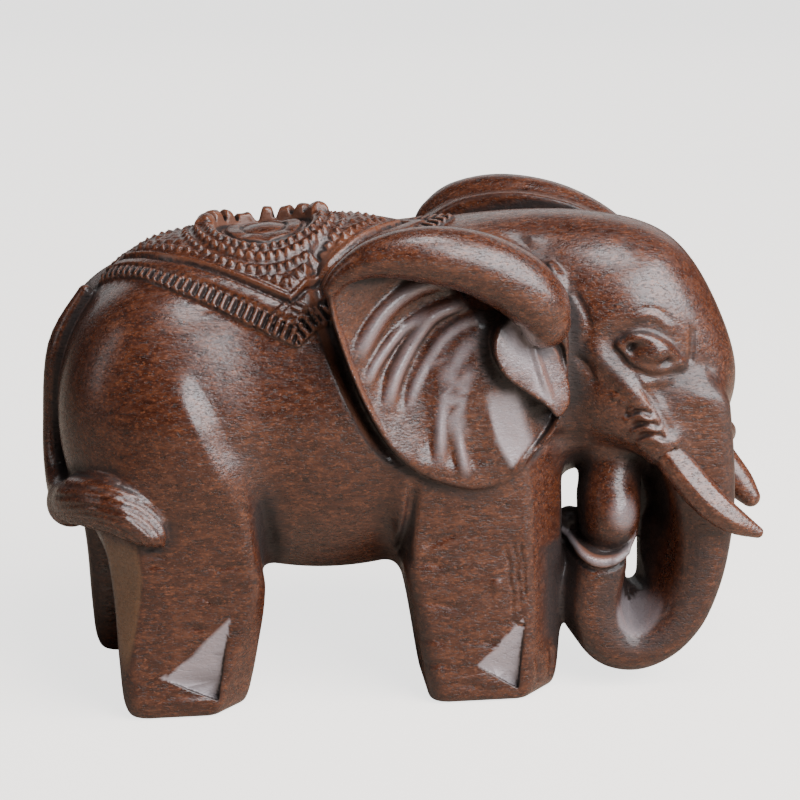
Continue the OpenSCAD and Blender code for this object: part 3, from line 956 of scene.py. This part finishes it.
def settled(shape, points, step):
    """Points moved down the slope until they lie on the surface."""
    for _ in range(2):
        slope = slope_of(shape, points)
        steep = np.maximum((slope ** 2).sum(axis=1), 0.3)
        move = np.clip(measured(shape, points) / steep, -step / 2, step / 2)
        points = points - slope * move[:, None]
    return points


def sculpted(name, shape, low, high, step, faces):
    """A mesh object of a field's surface, thinned to about that many triangles."""
    points, quads = netted(sampled(shape, low, high, step))
    points = settled(shape, low + points * step, step)
    mesh = bpy.data.meshes.new(name)
    mesh.from_pydata(placed(points), [], quads)
    piece = added(name, mesh)
    if len(quads) * 2 > faces:
        thin = piece.modifiers.new("Thin", "DECIMATE")
        thin.ratio = faces / (len(quads) * 2)
        depsgraph = bpy.context.evaluated_depsgraph_get()
        piece.data = bpy.data.meshes.new_from_object(piece.evaluated_get(depsgraph))
        piece.modifiers.clear()
    piece.data.validate()  # drops a face that the thinning folded onto another
    piece.data.shade_smooth()
    return piece


def add_marks(piece, shape):
    """Marks each point for the paint: how deep it lies in a cut or a hollow, where shade is painted,
    how strong its painted highlight is, and how bare.
    """
    mesh = piece.data
    count = len(mesh.vertices)
    spots, normals = np.empty(count * 3), np.empty(count * 3)
    mesh.vertices.foreach_get("co", spots)
    mesh.vertices.foreach_get("normal", normals)
    spots = (spots.reshape(-1, 3) - ORIGIN) / UNIT
    at = spots.astype(np.float32)
    normals = normals.reshape(-1, 3)
    values = {name: np.clip(1 - measured(shape, spots + normals * reach) / reach, -1, 1)
              for name, reach in (("cut", 0.7), ("hollow", 3.0))}
    values["painted_highlight"] = painted_highlight(at)
    values["bare"] = 0.6 * sawn(at)
    for name, value in values.items():
        layer = mesh.attributes.new(name, "FLOAT", "POINT")
        layer.data.foreach_set("value", value.astype(np.float32))


# ---------- the wood
MM = 1000.0  # shader coordinates are metres, the grain is set in mm
GRAIN_TURN = (0.0, math.radians(6), math.radians(-4))
BARE_WOOD = (0.19, 0.10, 0.048)  # the sawn flat down the rear of the leg
HIGHLIGHT_PAINT = (0.34, 0.29, 0.30)  # the pale grey painted on as a highlight


def preset(node, values):
    """Constants for a node's own sockets."""
    for name, value in values.items():
        node.inputs[name].default_value = value


def ramp(nodes, stops):
    node = nodes.new("ShaderNodeValToRGB")
    elements = node.color_ramp.elements
    while len(elements) < len(stops):
        elements.new(0.5)
    for element, (place, colour) in zip(elements, stops):
        element.position = place
        element.color = (*colour, 1)
    return node


class Wood:
    """Builds one lacquered wood from its tones: dark, middle and light."""

    def __init__(self, name, tones):
        self.material = bpy.data.materials.new(name)
        self.material.use_nodes = True
        self.nodes, self.links = self.material.node_tree.nodes, self.material.node_tree.links
        self.shader = self.nodes["Principled BSDF"]
        self.place = self.nodes.new("ShaderNodeTexCoord").outputs["Object"]
        self.colour(tones)
        self.surface()

    def stretched(self, stretch):
        """Coordinates in mm, drawn out along the grain."""
        node = self.nodes.new("ShaderNodeMapping")
        preset(node, {"Scale": [MM * share for share in stretch], "Rotation": GRAIN_TURN})
        self.links.new(self.place, node.inputs["Vector"])
        return node.outputs["Vector"]

    def noise(self, stretch, detail, rough, twist=0.0):
        node = self.nodes.new("ShaderNodeTexNoise")
        preset(node, {"Scale": 1.0, "Detail": detail, "Roughness": rough, "Distortion": twist})
        self.links.new(self.stretched(stretch), node.inputs["Vector"])
        return node.outputs["Fac"]

    def shaped(self, value, low, high, start=0.0, stop=1.0):
        node = self.nodes.new("ShaderNodeMapRange")
        preset(node, {"From Min": low, "From Max": high, "To Min": start, "To Max": stop})
        self.links.new(value, node.inputs["Value"])
        return node.outputs["Result"]

    def maths(self, operation, a, b):
        node = self.nodes.new("ShaderNodeMath")
        node.operation = operation
        for socket, value in zip(node.inputs, (a, b)):
            if isinstance(value, (int, float)):
                socket.default_value = value
            else:
                self.links.new(value, socket)
        return node.outputs["Value"]

    def mixed(self, share, a, b):
        node = self.nodes.new("ShaderNodeMix")
        node.data_type = "RGBA"
        sockets = [i for i in node.inputs if i.enabled]
        for socket, value in zip(sockets, (share, a, b)):
            if isinstance(value, (int, float)):
                socket.default_value = value
            elif isinstance(value, tuple):
                socket.default_value = (*value, 1)
            else:
                self.links.new(value, socket)
        return [o for o in node.outputs if o.enabled][0]

    def attribute(self, name):
        node = self.nodes.new("ShaderNodeAttribute")
        node.attribute_name = name
        return node.outputs["Fac"]

    def colour(self, tones):
        dark, middle, light = tones
        figure = self.noise((0.30, 0.9, 0.9), 8, 0.72, 0.6)
        base = ramp(self.nodes, [(0.28, dark), (0.5, middle), (0.74, light)])
        self.links.new(figure, base.inputs["Fac"])
        flecks = self.noise((1.3, 2.8, 2.8), 3, 0.7)
        lively = self.mixed(self.shaped(flecks, 0.54, 0.70, 0, 0.7), base.outputs["Color"],
                            tuple(c * 1.7 for c in light))
        self.pores = self.shaped(self.noise((1.1, 4.0, 4.0), 2, 0.6), 0.43, 0.34)
        pored = self.mixed(self.maths("MULTIPLY", self.pores, 0.75), lively,
                           tuple(c * 0.4 for c in dark))
        # Painted shade: the colour darkens in the narrow cuts and in the deeper hollows, and the same
        # mask roughens the lacquer below
        cut_shade = self.shaped(self.attribute("cut"), 0.08, 0.6)
        hollow_shade = self.shaped(self.attribute("hollow"), 0.12, 0.48)
        painted_shade = self.maths("MAXIMUM", cut_shade, hollow_shade)
        shaded = self.mixed(self.maths("MULTIPLY", painted_shade, 0.85), pored,
                             tuple(c * 0.3 for c in dark))
        # The colour turns lighter on sharp convex ridges
        lighter_on_ridges = self.shaped(self.attribute("cut"), -0.06, -0.5, 0, 0.5)
        edged = self.mixed(lighter_on_ridges, shaded, tuple(c * 1.35 for c in light))
        # Painted highlight: a pale grey is mixed in on the knife cuts, the ears' folds, the trunk's
        # ring and web and the lip
        highlight_share = self.maths("MULTIPLY", self.attribute("painted_highlight"), 0.7)
        final = self.mixed(highlight_share, edged, HIGHLIGHT_PAINT)
        final = self.mixed(self.attribute("bare"), final, BARE_WOOD)
        self.links.new(final, self.shader.inputs["Base Color"])
        self.painted_shade = painted_shade

    def surface(self):
        """Glossy lacquer: it dips into the pores and the tool marks show through it."""
        marks = self.noise((0.5, 1.1, 1.1), 3, 0.55)
        grain = self.noise((1.6, 3.4, 3.4), 3, 0.6)
        rough = self.maths("ADD", self.shaped(marks, 0.3, 0.7, 0.20, 0.34),
                           self.maths("MULTIPLY", self.pores, 0.25))
        rough = self.maths("ADD", rough, self.maths("MULTIPLY", self.painted_shade, 0.45))
        self.links.new(rough, self.shader.inputs["Roughness"])
        height = self.maths("ADD", self.maths("MULTIPLY", marks, 0.14),
                            self.maths("MULTIPLY", grain, 0.09))
        height = self.maths("SUBTRACT", height, self.maths("MULTIPLY", self.pores, 0.05))
        bump = self.nodes.new("ShaderNodeBump")
        preset(bump, {"Strength": 0.7, "Distance": 1 / MM})
        self.links.new(height, bump.inputs["Height"])
        self.links.new(bump.outputs["Normal"], self.shader.inputs["Normal"])
        preset(self.shader, {"Coat Weight": 0.25, "Coat Roughness": 0.16,
                             "Specular IOR Level": 0.5})


# ---------- the pieces
BODY_TONES = ((0.012, 0.0030, 0.0014), (0.050, 0.0130, 0.0056), (0.135, 0.044, 0.019))
TUSK_TONES = ((0.022, 0.0065, 0.0034), (0.078, 0.0230, 0.0110), (0.17, 0.060, 0.030))
BODY_FACES, TUSK_FACES = 190000, 12000
BODY_ROOM, TUSK_ROOM = 2, 4  # how far the sampled box reaches past each piece's own, mm

body = sculpted("body_carving", carving, FIGURE_LOW - BODY_ROOM, FIGURE_HIGH + BODY_ROOM, STEP,
                BODY_FACES)
add_marks(body, carving)
body.data.materials.append(Wood("dark_wood", BODY_TONES).material)
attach(body, "root")
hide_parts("body")

tusk_wood = Wood("tusk_wood", TUSK_TONES).material
for node, side in (("tusk_right", -1), ("tusk_left", 1)):
    low, high = ((np.array(corner) - ORIGIN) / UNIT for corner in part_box(node))
    horn = sculpted(node + "_horn", lambda q: tusk(q, side), low - TUSK_ROOM, high + TUSK_ROOM,
                    TUSK_STEP, TUSK_FACES)
    add_marks(horn, everything)
    horn.data.materials.append(tusk_wood)
    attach(horn, "root")
    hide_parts(node)

# ---------- the floor, the lights and the camera
CAMERA_TURN, CAMERA_RISE, CAMERA_AWAY = -7.0, 17.0, 380.0
CAMERA_AIM = (0.0, 0.0, 45.0)
FOCAL_RATIO = 2.874


def stand(item, turn, rise, away):
    """Puts a camera or a light at that angle round the figure, turned to its middle."""
    a, e = math.radians(turn), math.radians(rise)
    back = np.array([math.sin(a) * math.cos(e), -math.cos(a) * math.cos(e), math.sin(e)])
    item.location = placed(np.array(CAMERA_AIM) + back * away)
    direction = Vector(placed(CAMERA_AIM)) - item.location
    item.rotation_euler = direction.to_track_quat("-Z", "Y").to_euler()


camera_data = bpy.data.cameras.new("camera")
camera_data.sensor_width = 36
camera_data.lens = camera_data.sensor_width * FOCAL_RATIO
camera = added("camera", camera_data)
bpy.context.scene.camera = camera
stand(camera, CAMERA_TURN, CAMERA_RISE, CAMERA_AWAY)

FLOOR_HALF = 3.0
FLOOR_GLOW = 2.2
floor_mesh = bpy.data.meshes.new("floor")
floor_mesh.from_pydata([(-FLOOR_HALF, -FLOOR_HALF, 0), (FLOOR_HALF, -FLOOR_HALF, 0),
                        (FLOOR_HALF, FLOOR_HALF, 0), (-FLOOR_HALF, FLOOR_HALF, 0)],
                       [], [(0, 1, 2, 3)])
floor = added("floor", floor_mesh)
floor_paint = bpy.data.materials.new("pale_floor")
floor_paint.use_nodes = True
floor_shader = floor_paint.node_tree.nodes["Principled BSDF"]
preset(floor_shader, {"Base Color": (0.44, 0.37, 0.30, 1), "Roughness": 0.9,
                      "Specular IOR Level": 0.1, "Emission Color": (1.0, 0.99, 0.98, 1)})
# The floor glows only for the camera's own rays, so it stays pale and lights the wood little
seen = floor_paint.node_tree.nodes.new("ShaderNodeLightPath").outputs["Is Camera Ray"]
glow = floor_paint.node_tree.nodes.new("ShaderNodeMath")
glow.operation = "MULTIPLY"
glow.inputs[1].default_value = FLOOR_GLOW
floor_paint.node_tree.links.new(seen, glow.inputs[0])
floor_paint.node_tree.links.new(glow.outputs["Value"], floor_shader.inputs["Emission Strength"])
floor_mesh.materials.append(floor_paint)


def softbox(name, turn, rise, away, size, power, tint=(1, 1, 1)):
    data = bpy.data.lights.new(name, "AREA")
    data.shape = "RECTANGLE"
    data.size, data.size_y = size
    data.energy = power
    data.color = tint
    stand(added(name, data), turn, rise, away)


softbox("window_right", 48, 31, 450, (0.46, 0.36), 6.0, (0.94, 0.96, 1.0))
softbox("overhead", 25, 72, 480, (0.22, 0.18), 1.6, (0.96, 0.97, 1.0))
softbox("fill_left", -75, 25, 600, (0.15, 0.4), 0.4)
softbox("behind", 175, 24, 700, (1.0, 0.4), 1.3)

world = bpy.data.worlds.new("world")
bpy.context.scene.world = world
world.use_nodes = True
preset(world.node_tree.nodes["Background"], {"Color": (0.92, 0.93, 1.0, 1), "Strength": 0.05})
